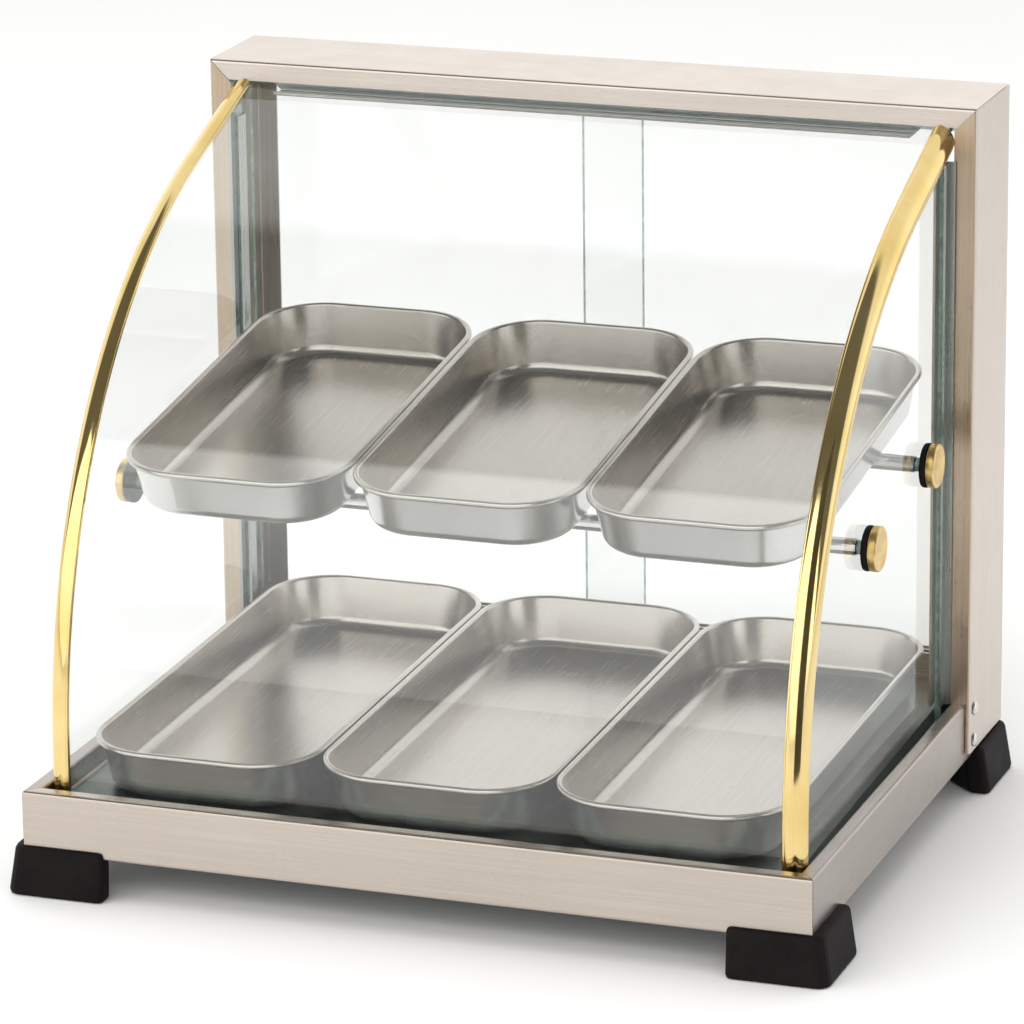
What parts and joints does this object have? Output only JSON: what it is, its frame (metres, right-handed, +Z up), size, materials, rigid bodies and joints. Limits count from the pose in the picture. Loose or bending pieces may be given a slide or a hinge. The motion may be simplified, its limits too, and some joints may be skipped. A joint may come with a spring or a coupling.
{
  "type": "hot food display case",
  "caption": "Countertop heated display case with a curved glass front, a stainless rear portal, sliding glass doors and removable trays on a warming deck and on two rods.",
  "frame": {"origin": "on the counter under the centre of the case", "axes": "+X to the right as seen from the customer side, +Y to the rear doors, +Z up"},
  "size_m": [0.4902, 0.4083, 0.4225],
  "materials": {
    "brushed_stainless": "brushed, warm grey",
    "zinc_sheet": "galvanised sheet, grey-green",
    "black_rubber": "moulded, matt",
    "bright_steel": "bright turned steel",
    "brass_knob": "turned, satin",
    "gold_trim": "polished",
    "clear_glass": "clear, tempered",
    "tray_stainless": "satin",
    "aluminium_section": "extruded, plain",
    "dark_plastic": "moulded, dark",
    "element_sheath": "heat-darkened sheath",
    "pale_plastic": "moulded, pale",
    "amber_lens": "amber lens"
  },
  "bodies": {
    "case": {"base_front_panel": "brushed_stainless", "base_left_panel": "brushed_stainless", "base_right_panel": "brushed_stainless", "base_rear_panel": "brushed_stainless", "frame_top": "brushed_stainless", "frame_left": "brushed_stainless", "frame_right": "brushed_stainless", "bottom_cover": "zinc_sheet", "deck_plate": "zinc_sheet", "element_bracket_front": "zinc_sheet", "element_bracket_rear": "zinc_sheet", "foot_fl": "black_rubber", "foot_fr": "black_rubber", "foot_rl": "black_rubber", "foot_rr": "black_rubber", "washer_front_left": "black_rubber", "washer_front_right": "black_rubber", "washer_rear_left": "black_rubber", "washer_rear_right": "black_rubber", "foot_screw_fl": "bright_steel", "foot_screw_fr": "bright_steel", "foot_screw_rl": "bright_steel", "foot_screw_rr": "bright_steel", "rivet_left_lower": "bright_steel", "rivet_left_upper": "bright_steel", "rivet_right_lower": "bright_steel", "rivet_right_upper": "bright_steel", "rod_front": "bright_steel", "rod_rear": "bright_steel", "knob_front_left": "brass_knob", "knob_front_right": "brass_knob", "knob_rear_left": "brass_knob", "knob_rear_right": "brass_knob", "trim_left": "gold_trim", "trim_right": "gold_trim", "front_glass": "clear_glass", "side_glass_left": "clear_glass", "side_glass_right": "clear_glass", "glass_top_clip": "aluminium_section", "track_bottom": "aluminium_section", "track_top": "aluminium_section", "side_gasket_left": "dark_plastic", "side_gasket_right": "dark_plastic", "cable_gland": "dark_plastic", "heating_element": "element_sheath", "thermostat": "pale_plastic", "terminal_block": "pale_plastic", "pilot_lamp": "amber_lens"},
    "door_left": {"door_left": "clear_glass", "door_pull_left": "dark_plastic"},
    "door_right": {"door_right": "clear_glass", "door_pull_right": "dark_plastic"},
    "dial": {"thermostat_knob": "dark_plastic", "thermostat_spindle": "bright_steel"},
    "tray_lower_left": {"tray_lower_left": "tray_stainless"},
    "tray_lower_middle": {"tray_lower_middle": "tray_stainless"},
    "tray_lower_right": {"tray_lower_right": "tray_stainless"},
    "tray_upper_left": {"tray_upper_left": "tray_stainless"},
    "tray_upper_middle": {"tray_upper_middle": "tray_stainless"},
    "tray_upper_right": {"tray_upper_right": "tray_stainless"}
  },
  "joints": [
    {"name": "door_left_slide", "type": "slide", "parent": "case", "child": "door_left", "axis": [1, 0, 0], "range_m": [0, 0.216]},
    {"name": "door_right_slide", "type": "slide", "parent": "case", "child": "door_right", "axis": [-1, 0, 0], "range_m": [0, 0.212]},
    {"name": "thermostat_turn", "type": "hinge", "parent": "case", "child": "dial", "pos_m": [-0.15, 0.1845, 0.0435], "axis": [0, 1, 0], "range_deg": [0, 270]},
    {"name": "lift_lower_left", "type": "slide", "parent": "case", "child": "tray_lower_left", "axis": [0, 0, 1], "range_m": [0, 0.012]},
    {"name": "lift_lower_middle", "type": "slide", "parent": "case", "child": "tray_lower_middle", "axis": [0, 0, 1], "range_m": [0, 0.012]},
    {"name": "lift_lower_right", "type": "slide", "parent": "case", "child": "tray_lower_right", "axis": [0, 0, 1], "range_m": [0, 0.012]},
    {"name": "lift_upper_left", "type": "slide", "parent": "case", "child": "tray_upper_left", "axis": [0, 0, 1], "range_m": [0, 0.015]},
    {"name": "lift_upper_middle", "type": "slide", "parent": "case", "child": "tray_upper_middle", "axis": [0, 0, 1], "range_m": [0, 0.015]},
    {"name": "lift_upper_right", "type": "slide", "parent": "case", "child": "tray_upper_right", "axis": [0, 0, 1], "range_m": [0, 0.015]}
  ]
}
